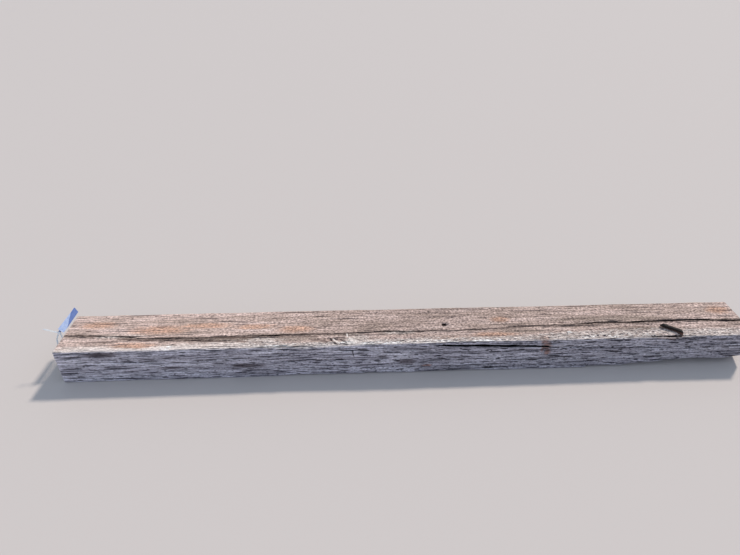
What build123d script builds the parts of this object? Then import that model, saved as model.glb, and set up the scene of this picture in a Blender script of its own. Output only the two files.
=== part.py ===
from build123d import *
import math
import os

# A used railway sleeper: one sawn hardwood timber, weathered on its top and long edges.
# It lies on its bed. X runs along the grain, the long face that shows most faces -Y, Z is up,
# and the origin is the middle of the bed. Lengths are millimetres and angles are degrees.

# The timber as it was sawn: 6 in by 8 in by 8 ft 6 in
sleeper_length = 2591.0
sleeper_width = 203.2
sleeper_height = 152.4
left_end_skew = 18.0        # the left end was cut out of square: its far corner is this much short
right_end_skew = 5.0
end_edge_round = 5.0        # handling has rounded the edges of both ends

# Seasoning checks taper to a closed root and to hairline tips
check_tip_opening = 0.8
check_tip_depth = 3.0

# The long check in the top, open at both ends
top_check_opening = 6.0
top_check_depth = 42.0

# The wide check high on the front face, and the short ones
front_check_opening = 9.0
front_check_depth = 32.0
short_check_opening = 4.5
short_check_depth = 14.0

# Radial checks in the end grain run out from the heart of the log, every other one shorter
end_check_opening = 4.0
end_check_depth = 70.0
end_check_reach = 78.0
short_end_check_reach = 58.0
end_check_waver = 1.5
end_check_overlap = 4.0     # each starts this far on the other side of the heart

# Hollows that rot and splintering have left
rot_pocket_width = 24.0
rot_pocket_depth = 9.0
gouge_width = 22.0
gouge_depth = 6.0

# An empty square hole that a spike was drawn from
spike_hole_side = 16.0
spike_hole_depth = 120.0

# A spike that broke off and was hammered over beside the front arris
shank_side = 12.5
shank_chamfer = 1.5
shank_grip = 90.0           # length of shank still in the wood
shank_clearance = 0.3
bend_radius = 12.0
bend_sink = 5.0             # the bend starts this far down in the split
bend_turn = 87.0            # from upright to nearly flat on the top
shank_exposed = 68.0        # straight length past the bend
shank_inset = 16.0          # from the front face to the shank's axis
shank_heading = 148.0       # the bent end points back and to the left
point_bevel = 11.0          # length of the bevel on the broken end

# The split that the spike opened along the arris, from its far left tip past the shank
split_reach_left = 165.0
split_widest_left = 62.0
split_reach_right = 40.0
split_opening = 5.0
split_depth = 18.0
split_inset = 5.0           # from the front face to the middle of the split

# A blank plastic lot tag: flag, lock, loop and tail are one moulding, looped over a nail
nail_diameter = 3.4
nail_head_diameter = 9.0
nail_head_thickness = 1.2
nail_grip = 32.0
nail_proud = 24.0
nail_clearance = 0.2
nail_skew = 30.0            # it was driven in askew: its head stands back from its point
loop_length = 58.0          # from its foot round the nail to its lock
loop_foot_width = 13.0
loop_belly_width = 19.0
loop_neck_width = 7.0
loop_belly_drop = 24.0      # from the lock down to where the loop is widest
strap_width = 4.6
strap_thickness = 2.2
tie_width = 9.0             # the broad tie from the lock to the flag
loop_slack = 1.9            # between the strap and the nail that it hangs on
loop_lean = 28.0            # the loop leans back across the timber
loop_turn = 20.0            # its broad side is turned this far from the end of the timber
lock_side = 9.0
tail_length = 55.0
tail_rise = 21.0            # the tail points out past the end, a little upwards
tail_heading = 180.0
tail_turn = 45.0            # and its flat side faces forwards and up
flag_length = 128.0
flag_width = 23.2
flag_thickness = 0.9
flag_heading = 83.5         # the flag lies back across the timber
flag_slant = 48.0           # and slopes down to the right
flag_fold = 19.0            # the turn at its slanting crease
crease_left, crease_right = 0.74, 0.22      # where the crease meets the long edges, from the lock
flag_offset = 18.0          # from the lock up to the flag's near left corner

# Cutters start and stop outside the timber by this much
overrun = 20.0

half_length = sleeper_length / 2
half_width = sleeper_width / 2
TOP, BED = 1, -1
FRONT, BACK = -1, 1

# Worn long edges: where along the length (as a share of it, from the middle), how far the wear
# reaches in over the flat face, and how far it reaches along the upright face
wear_flats = 3
worn_round, split_away = 2.0, 1.15      # a worn edge is rounded, a split one is nearly a flat chamfer
front_top_wear = [(-0.50, 10, 5), (-0.44, 15, 9), (-0.26, 14, 9), (-0.157, 20, 20), (-0.066, 12, 6),
                  (0.034, 8, 4), (0.20, 13, 8), (0.361, 14, 9), (0.368, 16, 19), (0.384, 16, 19),
                  (0.391, 14, 9), (0.50, 10, 5)]
front_bed_wear = [(-0.50, 4, 3), (-0.198, 4, 3), (-0.188, 10, 7.5), (-0.165, 13, 9.5), (-0.119, 9, 6.5),
                  (-0.068, 12, 8.5), (-0.006, 8, 6), (0.096, 13, 9.5), (0.12, 5, 4), (0.254, 5, 4),
                  (0.26, 15, 11), (0.312, 14, 10), (0.322, 25, 18), (0.365, 37, 27), (0.415, 50, 37),
                  (0.465, 45, 33), (0.50, 62, 47)]
back_top_wear = [(-0.50, 9, 9), (-0.22, 6, 6), (0.15, 9, 8), (0.50, 7, 8)]
back_bed_wear = [(-0.50, 5, 5), (0.50, 4, 4)]

# Checks: where along the length, where across the face (both as shares of the timber's own
# size), and how open the check is there, as a share of its full opening and depth
top_check_line = [(-0.50, -0.055, 0.5), (-0.44, -0.11, 0.7), (-0.405, -0.145, 0.7), (-0.382, -0.20, 0.8),
                  (-0.336, -0.203, 0.7), (-0.295, -0.205, 0.35), (-0.255, -0.183, 0.5), (-0.208, -0.186, 0.85),
                  (-0.139, -0.19, 0.55), (-0.104, -0.187, 0.35), (-0.046, -0.155, 0.7), (0.012, -0.178, 0.4),
                  (0.046, -0.187, 0.6), (0.093, -0.16, 0.7), (0.139, -0.13, 0.3), (0.19, -0.097, 0.5),
                  (0.232, -0.085, 0.45), (0.278, -0.047, 0.8), (0.336, -0.06, 1.0), (0.392, -0.066, 0.0)]
top_branch_line = [(0.352, -0.053, 0.0), (0.38, -0.047, 0.7), (0.434, -0.04, 0.9), (0.452, -0.068, 1.0),
                   (0.50, -0.085, 1.0)]
top_side_line = [(-0.345, -0.25, 0.0), (-0.315, -0.272, 0.6), (-0.26, -0.30, 0.5), (-0.21, -0.29, 0.0)]
front_check_line = [(0.024, 0.89, 0.0), (0.045, 0.88, 0.6), (0.12, 0.833, 1.0), (0.181, 0.774, 0.9),
                    (0.202, 0.735, 0.6), (0.269, 0.709, 0.0)]
short_check_lines = [[(-0.142, 0.475, 0.0), (-0.123, 0.505, 1.0), (-0.095, 0.49, 0.0)],
                     [(-0.324, 0.315, 0.0), (-0.308, 0.318, 0.8), (-0.293, 0.31, 0.0)],
                     [(0.335, 0.42, 0.0), (0.352, 0.43, 0.8), (0.372, 0.425, 0.0)],
                     [(-0.50, 0.27, 1.0), (-0.485, 0.275, 0.7), (-0.466, 0.27, 0.0)]]
rot_pocket_line = [(-0.448, 0.87, 0.2), (-0.441, 0.85, 1.0), (-0.432, 0.84, 0.8), (-0.424, 0.845, 0.1)]
gouge_line = [(-0.127, -0.37, 0.1), (-0.119, -0.35, 1.0), (-0.112, -0.34, 0.7), (-0.104, -0.3, 0.1)]
end_check_angles = [12.0, 98.0, 171.0, 262.0]

# Places that are shares of the timber's own size: the heart of the log, which the checks point
# at, the drawn spike's hole, the bent spike, and the nail in the left end
heart_across, heart_up = 0.08, 0.44
hole_along, hole_across = 0.044, -0.005
spike_along = 0.39
nail_across, nail_up = -0.2, 0.72


def past_ends(share):
    """A place along the timber; a cut that reaches an end runs out past it."""
    at_end = abs(share) == 0.5
    return share * sleeper_length + (math.copysign(overrun, share) if at_end else 0.0)


def worn_edge(wear, side, level, roundness):
    """The wood lost from one long edge: a loft through a section at each place along it.

    Each section takes the edge off in a few flats, from the flat face round to the upright one."""
    edge_y = side * half_width
    edge_z = sleeper_height if level == TOP else 0.0
    out_y, out_z = edge_y + side * overrun, edge_z + level * overrun
    sections = []
    for share, inset, reach in wear:
        x = past_ends(share)
        rounded = []
        for step in range(wear_flats + 1):
            turned = step / wear_flats
            rounded.append((x, edge_y - side * inset * (1 - turned) ** roundness,
                            edge_z - level * reach * turned ** roundness))
        outside = [(x, out_y, rounded[-1][2]), (x, out_y, out_z), (x, rounded[0][1], out_z)]
        sections.append(make_face(Polyline(*rounded, *outside, close=True)))
    return loft(sections, ruled=True)


def check_cut(face_plane, line, heart=None):
    """A seasoning check: a wedge that wanders along the grain and closes at its root.

    Each point of the line is (along, across, opening, depth) on the face's own plane. Wood splits
    along its radius, so the root leans towards the heart, given as (across, depth) on the plane."""
    sections = []
    for along, across, opening, depth in line:
        lean = (heart[0] - across) / heart[1] if heart else 0.0
        section = Polyline(face_plane.from_local_coords((along, across - opening / 2, 0)),
                           face_plane.from_local_coords((along, across + lean * depth, -depth)),
                           face_plane.from_local_coords((along, across + opening / 2, 0)),
                           face_plane.from_local_coords((along, across + opening / 2, overrun)),
                           face_plane.from_local_coords((along, across - opening / 2, overrun)),
                           close=True)
        sections.append(make_face(section))
    return loft(sections, ruled=True)


def check_line(line, across_size, opening, depth):
    """The line's shares as real places and sizes; a share of 0 is a hairline tip."""
    return [(past_ends(along), across * across_size,
             max(opening * openness, check_tip_opening), max(depth * openness, check_tip_depth))
            for along, across, openness in line]


def end_face_x(side, y):
    """Where an end's saw cut lies at a place across the width."""
    skew = left_end_skew if side < 0 else right_end_skew
    return side * (half_length - skew * (y + half_width) / sleeper_width)


def end_check_cuts(side):
    """Radial checks in one end, widest near the heart."""
    heart_y, heart_z = heart_across * sleeper_width, heart_up * sleeper_height
    near, far = end_face_x(side, -half_width), end_face_x(side, half_width)
    outward = Vector(side * sleeper_width, -side * (far - near), 0).normalized()
    across = Vector(0, 0, 1).cross(outward)
    cuts = []
    for number, angle in enumerate(end_check_angles):
        radial = across * math.cos(math.radians(angle)) + Vector(0, 0, 1) * math.sin(math.radians(angle))
        plane = Plane((end_face_x(side, heart_y), heart_y, heart_z), x_dir=radial, z_dir=outward)
        reach = short_end_check_reach if number % 2 else end_check_reach
        line = [(-end_check_overlap, 0, check_tip_opening, end_check_depth / 2),
                (reach / 3, end_check_waver, end_check_opening, end_check_depth),
                (reach * 2 / 3, -end_check_waver, end_check_opening / 2, end_check_depth / 2),
                (reach, 0, check_tip_opening, check_tip_depth)]
        cuts.append(check_cut(plane, line))
    return cuts


def bent_bar(side, corner, bevel):
    """A square bar that comes up out of the wood and turns over in one bend."""
    turn = math.radians(bend_turn)
    bend_start = shank_grip - bend_sink
    bend_end = (bend_radius * (1 - math.cos(turn)), bend_start + bend_radius * math.sin(turn))
    tip = (bend_end[0] + shank_exposed * math.sin(turn), bend_end[1] + shank_exposed * math.cos(turn))
    root = Line((0, 0, 0), (0, 0, bend_start))
    middle = (bend_radius * (1 - math.cos(turn / 2)), 0, bend_start + bend_radius * math.sin(turn / 2))
    bend = ThreePointArc((0, 0, bend_start), middle, (bend_end[0], 0, bend_end[1]))
    shaft = Line((bend_end[0], 0, bend_end[1]), (tip[0], 0, tip[1]))
    section = Rectangle(side, side)
    if corner:
        section = chamfer(section.vertices(), corner)
    bar = sweep(Plane.XY * section, Wire([root, bend, shaft]))
    if bevel:
        end_plane = Plane((tip[0], 0, tip[1]), x_dir=(math.cos(turn), 0, -math.sin(turn)),
                          z_dir=(math.sin(turn), 0, math.cos(turn)))
        wedge = Polyline((-side / 2, -bevel), (side / 2, 0), (side / 2, bevel), (-side / 2, bevel),
                         close=True)
        side_plane = Plane(end_plane.origin, x_dir=end_plane.x_dir, z_dir=(0, -1, 0))
        bar -= extrude(side_plane * make_face(wedge), side, both=True)
    return bar


def direction(heading, rise):
    """A unit vector from an angle about Z and an angle above the horizontal."""
    heading, rise = math.radians(heading), math.radians(rise)
    return Vector(math.cos(rise) * math.cos(heading), math.cos(rise) * math.sin(heading), math.sin(rise))


top_plane = Plane((0, 0, sleeper_height), x_dir=(1, 0, 0), z_dir=(0, 0, 1))
front_plane = Plane((0, -half_width, 0), x_dir=(1, 0, 0), z_dir=(0, -1, 0))
heart_from_top = (heart_across * sleeper_width, (1 - heart_up) * sleeper_height)
heart_from_front = (heart_up * sleeper_height, half_width + heart_across * sleeper_width)
spike_x, spike_y = spike_along * sleeper_length, -half_width + shank_inset
spike_seat = Location((spike_x, spike_y, sleeper_height - shank_grip), (0, 0, shank_heading))
nail_y, nail_z = nail_across * sleeper_width, nail_up * sleeper_height
nail_seat = Plane((end_face_x(-1, nail_y), nail_y, nail_z), z_dir=direction(-nail_skew, 0)).location


def make_spike():
    return spike_seat * bent_bar(shank_side, shank_chamfer, point_bevel)


def make_sawn_block():
    """The timber as it left the saw: both ends slightly out of square, their edges handled round."""
    outline = Polyline((end_face_x(-1, -half_width), -half_width), (end_face_x(1, -half_width), -half_width),
                       (end_face_x(1, half_width), half_width), (end_face_x(-1, half_width), half_width),
                       close=True)
    block = extrude(make_face(outline), sleeper_height)
    end_faces = block.faces().sort_by(Axis.X)
    return fillet(end_faces[0].edges() + end_faces[-1].edges(), end_edge_round)


def top_check(line, opening, depth):
    return check_cut(top_plane, check_line(line, sleeper_width, opening, depth), heart_from_top)


def front_check(line, opening, depth):
    return check_cut(front_plane, check_line(line, sleeper_height, opening, depth), heart_from_front)


def spike_split():
    """The split that the bent spike opened along the arris, widest beside the shank."""
    split_y = -half_width + split_inset
    return check_cut(top_plane, [(spike_x - split_reach_left, split_y, check_tip_opening, check_tip_depth),
                                 (spike_x - split_widest_left, split_y, split_opening, split_depth),
                                 (spike_x, split_y, split_opening, split_depth),
                                 (spike_x + split_reach_right, split_y, check_tip_opening, check_tip_depth)])


def make_timber():
    timber = make_sawn_block()
    timber -= worn_edge(front_top_wear, FRONT, TOP, worn_round)
    timber -= worn_edge(front_bed_wear, FRONT, BED, split_away)
    timber -= worn_edge(back_top_wear, BACK, TOP, worn_round)
    timber -= worn_edge(back_bed_wear, BACK, BED, worn_round)

    timber -= top_check(top_check_line, top_check_opening, top_check_depth)
    timber -= top_check(top_branch_line, top_check_opening, top_check_depth)
    timber -= top_check(top_side_line, short_check_opening, short_check_depth)
    timber -= front_check(front_check_line, front_check_opening, front_check_depth)
    for line in short_check_lines:
        timber -= front_check(line, short_check_opening, short_check_depth)
    for side in (-1, 1):
        for cut in end_check_cuts(side):
            timber -= cut

    timber -= front_check(rot_pocket_line, rot_pocket_width, rot_pocket_depth)
    timber -= top_check(gouge_line, gouge_width, gouge_depth)
    hole = Box(spike_hole_side, spike_hole_side, spike_hole_depth + overrun,
               align=(Align.CENTER, Align.CENTER, Align.MIN))
    hole_x, hole_y = hole_along * sleeper_length, hole_across * sleeper_width
    timber -= Pos(hole_x, hole_y, sleeper_height - spike_hole_depth) * hole

    timber -= spike_split()
    timber -= spike_seat * bent_bar(shank_side + 2 * shank_clearance, 0, 0)
    timber -= nail_seat * Cylinder(nail_diameter / 2 + nail_clearance, 2 * nail_grip)
    return timber


def make_nail():
    """A round nail left standing in the left end."""
    nail = nail_seat * Pos(0, 0, -nail_proud) * Cylinder(nail_diameter / 2, nail_grip + nail_proud,
                                                         align=(Align.CENTER, Align.CENTER, Align.MIN))
    head = nail_seat * Pos(0, 0, -nail_proud) * Cylinder(nail_head_diameter / 2, nail_head_thickness,
                                                         align=(Align.CENTER, Align.CENTER, Align.MIN))
    return nail + head


def loop_outline(growth):
    """The loop: narrow round the nail, widest below the lock, and drawn in again to its neck."""
    foot = Circle(loop_foot_width / 2 + growth)
    belly = Pos(0, loop_length - loop_belly_drop) * Circle(loop_belly_width / 2 + growth)
    neck = Pos(0, loop_length - loop_neck_width / 2) * Circle(loop_neck_width / 2 + growth)
    return make_hull(foot.edges() + belly.edges() + neck.edges())


def strap(start, toward, flat_side, width):
    """A straight length of the tag's strap; its flat side faces along flat_side."""
    along = toward - start
    plane = Plane(start, x_dir=along.cross(flat_side), z_dir=along)
    return extrude(plane * Rectangle(width, strap_thickness), along.length)


def creased_flag(near_left):
    """A flat strip with one slanting crease; the far part is turned about it."""
    along, level = direction(flag_heading, 0), direction(flag_heading - 90, 0)
    slant = math.radians(flag_slant)
    across = level * math.cos(slant) - Vector(0, 0, 1) * math.sin(slant)
    plane = Plane(near_left, x_dir=across, z_dir=across.cross(along))
    left, right = crease_left * flag_length, crease_right * flag_length
    near_part = make_face(Polyline((0, 0), (flag_width, 0), (flag_width, right), (0, left), close=True))
    far_part = make_face(Polyline((0, left), (flag_width, right), (flag_width, flag_length), (0, flag_length),
                                  close=True))
    near_part = extrude(near_part, flag_thickness / 2, both=True)
    far_part = extrude(far_part, flag_thickness / 2, both=True)
    crease = Axis((0, left, 0), (flag_width, right - left, 0))
    return plane.location * (near_part + far_part.rotate(crease, -flag_fold)), plane


def make_lot_tag():
    lean = math.radians(loop_lean)
    upward = Vector(0, math.sin(lean), math.cos(lean))
    sideways = direction(loop_turn, 0)
    sideways = (sideways - upward * sideways.dot(upward)).normalized()
    facing = sideways.cross(upward)
    hung = nail_seat.position - direction(-nail_skew, 0) * (nail_proud / 2)
    foot = hung + upward * (loop_foot_width / 2 - strap_width / 2 - nail_diameter / 2 - loop_slack)
    band = loop_outline(strap_width / 2) - loop_outline(-strap_width / 2)
    loop = extrude(Plane(foot, x_dir=sideways, z_dir=facing) * band, strap_thickness / 2, both=True)

    lock_at = foot + upward * loop_length
    lock = Plane(lock_at, x_dir=sideways, z_dir=facing).location * Box(lock_side, lock_side, lock_side)
    turn = math.radians(tail_turn)
    tail = strap(lock_at, lock_at + direction(tail_heading, tail_rise) * tail_length,
                 Vector(0, -math.cos(turn), math.sin(turn)), strap_width)

    flag, flag_plane = creased_flag(lock_at + Vector(0, 0, flag_offset))
    under_flag = flag_plane.from_local_coords((tie_width, lock_side, -strap_thickness / 2))
    tie = strap(lock_at, under_flag, flag_plane.z_dir, tie_width)
    return loop + lock + tail + flag + tie


os.makedirs("parts", exist_ok=True)
export_step(make_timber(), "parts/sleeper.step")
export_step(make_spike(), "parts/bent_spike.step")
export_step(make_nail(), "parts/tag_nail.step")
export_step(make_lot_tag(), "parts/lot_tag.step")
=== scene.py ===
# %% [markdown]
# # A weathered railway sleeper
#
# The object is one hardwood timber, 2.6 m long, that has lain outdoors for decades. It is bleached
# and orange-stained on top and silver-grey on its long faces. Long seasoning checks split it, a
# spike is bent over at one end, and a blank plastic tag hangs at the other. The CAD model gives
# every main form at its real size. What is left for this script is the skin: grain, small checks,
# splinters, rust and colour.

# %% Load the frame
import math

import bmesh
import bpy
import numpy as np
from mathutils import Matrix, Vector


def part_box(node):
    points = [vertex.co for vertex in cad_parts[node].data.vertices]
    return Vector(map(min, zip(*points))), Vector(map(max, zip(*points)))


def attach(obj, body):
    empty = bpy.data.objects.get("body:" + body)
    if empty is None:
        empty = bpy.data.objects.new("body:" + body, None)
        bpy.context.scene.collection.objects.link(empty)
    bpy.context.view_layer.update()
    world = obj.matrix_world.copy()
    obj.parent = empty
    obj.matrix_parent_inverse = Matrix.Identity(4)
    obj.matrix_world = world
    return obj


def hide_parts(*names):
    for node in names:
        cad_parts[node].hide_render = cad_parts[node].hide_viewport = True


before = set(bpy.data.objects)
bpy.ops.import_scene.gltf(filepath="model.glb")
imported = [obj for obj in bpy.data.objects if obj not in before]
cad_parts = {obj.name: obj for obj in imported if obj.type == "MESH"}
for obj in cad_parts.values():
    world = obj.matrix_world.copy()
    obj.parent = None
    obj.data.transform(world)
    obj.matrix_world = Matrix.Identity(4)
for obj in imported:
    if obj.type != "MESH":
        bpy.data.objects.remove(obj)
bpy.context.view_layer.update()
MM = 0.001
print("pieces in the frame:", sorted(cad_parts))

# %% [markdown]
# ## Driving sizes
#
# The sawn block's own width and height are read from the frame, so the skin always fits the solid
# that it stands for. The wear along the arrises is the solid's own table, and the checks' routes
# keep to the solid's within about a millimetre, before a small waver. How open the two big checks
# are was tuned, and the fine lines in the front are only in this skin. Each table row says
# where along the length, as a share of it from the middle, and then the two sizes, or the place and
# the openness there.

# %% The sawn block
_, timber_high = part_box("sleeper")
HALF_WIDTH, HEIGHT = timber_high.y, timber_high.z
WIDTH = 2 * HALF_WIDTH
LENGTH = 2591 * MM
HALF_LENGTH = LENGTH / 2
LEFT_SKEW, RIGHT_SKEW = 18 * MM, 5 * MM
END_ROUND = 5 * MM
HEART_Y, HEART_Z = 0.08 * WIDTH, 0.44 * HEIGHT
print(f"timber {LENGTH:.3f} x {WIDTH:.3f} x {HEIGHT:.3f} m")

# %% Wear along the four long arrises: how far in over the flat face, how far along the upright one
front_top_wear = [(-0.50, 10, 5), (-0.44, 15, 9), (-0.26, 14, 9), (-0.157, 20, 20), (-0.066, 12, 6),
                  (0.034, 8, 4), (0.20, 13, 8), (0.361, 14, 9), (0.368, 16, 19), (0.384, 16, 19),
                  (0.391, 14, 9), (0.50, 10, 5)]
front_bed_wear = [(-0.50, 4, 3), (-0.198, 4, 3), (-0.188, 10, 7.5), (-0.165, 13, 9.5), (-0.119, 9, 6.5),
                  (-0.068, 12, 8.5), (-0.006, 8, 6), (0.096, 13, 9.5), (0.12, 5, 4), (0.254, 5, 4),
                  (0.26, 15, 11), (0.312, 14, 10), (0.322, 25, 18), (0.365, 37, 27), (0.415, 50, 37),
                  (0.465, 45, 33), (0.50, 62, 47)]
back_top_wear = [(-0.50, 9, 9), (-0.22, 6, 6), (0.15, 9, 8), (0.50, 7, 8)]
back_bed_wear = [(-0.50, 5, 5), (0.50, 4, 4)]
WORN_ROUND, SPLIT_AWAY = 2.0, 1.15

# %% The checks: where across the face, as a share of it, and how open
top_check = [(-0.50, -0.055, 0.25), (-0.44, -0.11, 0.35), (-0.405, -0.145, 0.5), (-0.382, -0.20, 0.6),
             (-0.336, -0.203, 0.5), (-0.295, -0.205, 0.35), (-0.255, -0.183, 0.5), (-0.208, -0.186, 0.85),
             (-0.139, -0.19, 0.45), (-0.104, -0.187, 0.25), (-0.046, -0.155, 0.5), (0.012, -0.178, 0.3),
             (0.046, -0.187, 0.35), (0.093, -0.16, 0.35), (0.139, -0.13, 0.12), (0.19, -0.097, 0.25),
             (0.232, -0.085, 0.3), (0.278, -0.047, 0.9), (0.336, -0.06, 1.2), (0.36, -0.056, 0.75),
             (0.38, -0.047, 0.7), (0.434, -0.04, 0.9), (0.452, -0.068, 1.0), (0.50, -0.085, 1.0)]
top_tail_line = [(0.338, -0.066, 0.9), (0.36, -0.068, 0.6), (0.392, -0.07, 0.1)]
top_side_line = [(-0.345, -0.25, 0.1), (-0.315, -0.272, 0.6), (-0.26, -0.30, 0.5), (-0.21, -0.29, 0.1)]
front_check = [(0.024, 0.89, 0.2), (0.045, 0.88, 0.95), (0.12, 0.833, 1.1), (0.181, 0.774, 0.9),
               (0.202, 0.735, 0.6), (0.269, 0.709, 0.0)]
short_lines = [[(-0.142, 0.475, 0.1), (-0.123, 0.505, 1.0), (-0.095, 0.49, 0.1)],
               [(-0.324, 0.315, 0.1), (-0.308, 0.318, 0.8), (-0.293, 0.31, 0.1)],
               [(0.335, 0.42, 0.1), (0.352, 0.43, 0.8), (0.372, 0.425, 0.1)],
               [(-0.50, 0.27, 1.0), (-0.485, 0.275, 0.7), (-0.466, 0.27, 0.1)]]
rot_pocket_line = [(-0.448, 0.87, 0.2), (-0.441, 0.85, 1.0), (-0.432, 0.84, 0.8), (-0.424, 0.845, 0.1)]
gouge_line = [(-0.127, -0.37, 0.1), (-0.119, -0.35, 1.0), (-0.112, -0.34, 0.7), (-0.104, -0.3, 0.1)]
spike_split_line = [(0.327, -0.475, 0.2), (0.366, -0.475, 1.0), (0.39, -0.475, 1.0), (0.405, -0.475, 0.2)]
TOP_CHECK_OPENING, TOP_CHECK_DEPTH = 6 * MM, 42 * MM
FRONT_CHECK_OPENING, FRONT_CHECK_DEPTH = 9 * MM, 32 * MM
SHORT_CHECK_OPENING, SHORT_CHECK_DEPTH = 4.5 * MM, 14 * MM
POCKET_WIDTH, POCKET_DEPTH = 24 * MM, 9 * MM
GOUGE_WIDTH, GOUGE_DEPTH = 22 * MM, 6 * MM
front_lines = [[(-0.497, 0.846, 0.6), (-0.47, 0.83, 0.8), (-0.45, 0.80, 0.5), (-0.425, 0.768, 0.2)],
               [(-0.428, 0.61, 0.2), (-0.40, 0.59, 0.8), (-0.37, 0.56, 1.0), (-0.34, 0.545, 0.7),
                (-0.31, 0.52, 0.2)],
               [(0.207, 0.725, 0.4), (0.23, 0.71, 1.0), (0.262, 0.69, 0.3)],
               [(0.222, 0.60, 0.2), (0.25, 0.585, 0.9), (0.285, 0.56, 0.8), (0.305, 0.55, 0.2)],
               [(-0.218, 0.512, 0.2), (-0.18, 0.49, 0.9), (-0.137, 0.46, 0.3)],
               [(-0.1015, 0.577, 0.2), (-0.075, 0.56, 0.9), (-0.044, 0.538, 0.3)],
               [(0.30, 0.466, 0.3), (0.315, 0.456, 0.9), (0.331, 0.446, 0.3)],
               [(0.336, 0.584, 0.3), (0.35, 0.577, 0.8), (0.362, 0.571, 0.2)],
               [(0.389, 0.636, 0.2), (0.41, 0.57, 0.9), (0.43, 0.505, 0.3)]]
HAIR_WIDTH, HAIR_DEPTH = 3.4 * MM, 8 * MM
SPLIT_OPENING, SPLIT_DEPTH = 5 * MM, 18 * MM
HOLE_X, HOLE_Y, HOLE_SIDE, HOLE_DEPTH = 0.044 * LENGTH, -0.005 * WIDTH, 16 * MM, 120 * MM


# %% [markdown]
# ## Small helpers
#
# `hex_colour` turns a colour as painters write it into Blender's linear numbers. `add` places one
# node with its settings and links, and `new_material` and `new_tree` start the trees that it adds
# to. `place_object` puts an object in the scene, and `mesh_piece` makes one from lists of corners
# and faces. `dress` gives a mesh its one material, and `make_plain` swaps a piece's live modifiers
# for the mesh that they make.

# %% Colours and nodes
def hex_colour(code):
    parts = [int(code[i:i + 2], 16) / 255 for i in (1, 3, 5)]
    return tuple(c / 12.92 if c <= 0.04045 else ((c + 0.055) / 1.055) ** 2.4 for c in parts) + (1.0,)


def add(tree, kind, inputs=(), stops=(), **settings):
    """One node. Its inputs come in order, or by name or number in a dictionary.

    An input is a value, a socket, or a node whose first output in use is linked. A kind that
    doesn't name its family is a shader's, and Geometry Nodes share many of those. The stops are a
    colour ramp's own: (place, colour) for each."""
    node = tree.nodes.new(kind if "Node" in kind else "ShaderNode" + kind)
    for name, value in settings.items():
        setattr(node, name, value)
    for key, value in inputs.items() if isinstance(inputs, dict) else enumerate(inputs):
        if isinstance(value, bpy.types.Node):
            value = next(s for s in value.outputs if s.enabled)
        if isinstance(value, bpy.types.NodeSocket):
            tree.links.new(value, node.inputs[key])
        else:
            node.inputs[key].default_value = value
    for number, (spot, code) in enumerate(stops):
        elements = node.color_ramp.elements
        element = elements[number] if number < len(elements) else elements.new(spot)
        element.position = spot
        element.color = hex_colour(code)
    return node


# %% Materials, trees and pieces
def new_material(name, roughness, metallic=0.0):
    """A material, with its node tree and its shader."""
    material = bpy.data.materials.new(name)
    material.use_nodes = True
    shader = material.node_tree.nodes["Principled BSDF"]
    shader.inputs["Roughness"].default_value = roughness
    shader.inputs["Metallic"].default_value = metallic
    return material, material.node_tree, shader


def new_tree(name, sizes):
    """A Geometry Nodes tree whose named inputs start at these sizes, with its input node."""
    tree = bpy.data.node_groups.new(name, "GeometryNodeTree")
    tree.interface.new_socket("Geometry", in_out="INPUT", socket_type="NodeSocketGeometry")
    for size_name, size in sizes.items():
        socket = tree.interface.new_socket(size_name, in_out="INPUT", socket_type="NodeSocketFloat")
        socket.default_value = size
    tree.interface.new_socket("Geometry", in_out="OUTPUT", socket_type="NodeSocketGeometry")
    return tree, add(tree, "NodeGroupInput")


def place_object(name, data):
    placed = bpy.data.objects.new(name, data)
    bpy.context.scene.collection.objects.link(placed)
    return placed


def mesh_piece(name, corners, faces):
    mesh = bpy.data.meshes.new(name)
    mesh.from_pydata([tuple(c) for c in corners], [], faces)
    mesh.update()
    return place_object(name, mesh)


def dress(mesh, material):
    mesh.materials.clear()
    mesh.materials.append(material)


def make_plain(piece):
    graph = bpy.context.evaluated_depsgraph_get()
    mesh = bpy.data.meshes.new_from_object(piece.evaluated_get(graph))
    piece.modifiers.clear()
    piece.data = mesh
    return mesh


# %% [markdown]
# ## The timber's skin
#
# A sawn timber is a prism, so its skin could be a subdivided box pushed about by a displacement
# texture, but that spends as many points on the bed as on the top and blurs the long checks. Here
# the skin is a stack of rings instead: one outline of the section at each place along the length.
# Every ring has the same number of points, and they are spent where light shows relief. Seven rows
# run down into each big check and up again, wherever it wanders, so the split keeps crisp lips.

# %% Smooth wandering lines
def wander(x, wavelength, height, seed):
    """A smooth random line along the timber: knots at even steps, eased from one to the next."""
    start = -HALF_LENGTH - 2 * wavelength
    count = int((2 * HALF_LENGTH + 5 * wavelength) / wavelength) + 2
    knots = np.random.default_rng(seed).uniform(-height, height, count)
    place = (np.clip(x, -HALF_LENGTH, HALF_LENGTH) - start) / wavelength
    low = np.floor(place).astype(int)
    ease = place - low
    ease = ease * ease * (3 - 2 * ease)
    return knots[low] * (1 - ease) + knots[low + 1] * ease


def along_table(x, table, column):
    return np.interp(x / LENGTH, [row[0] for row in table], [row[column] for row in table])


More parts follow.
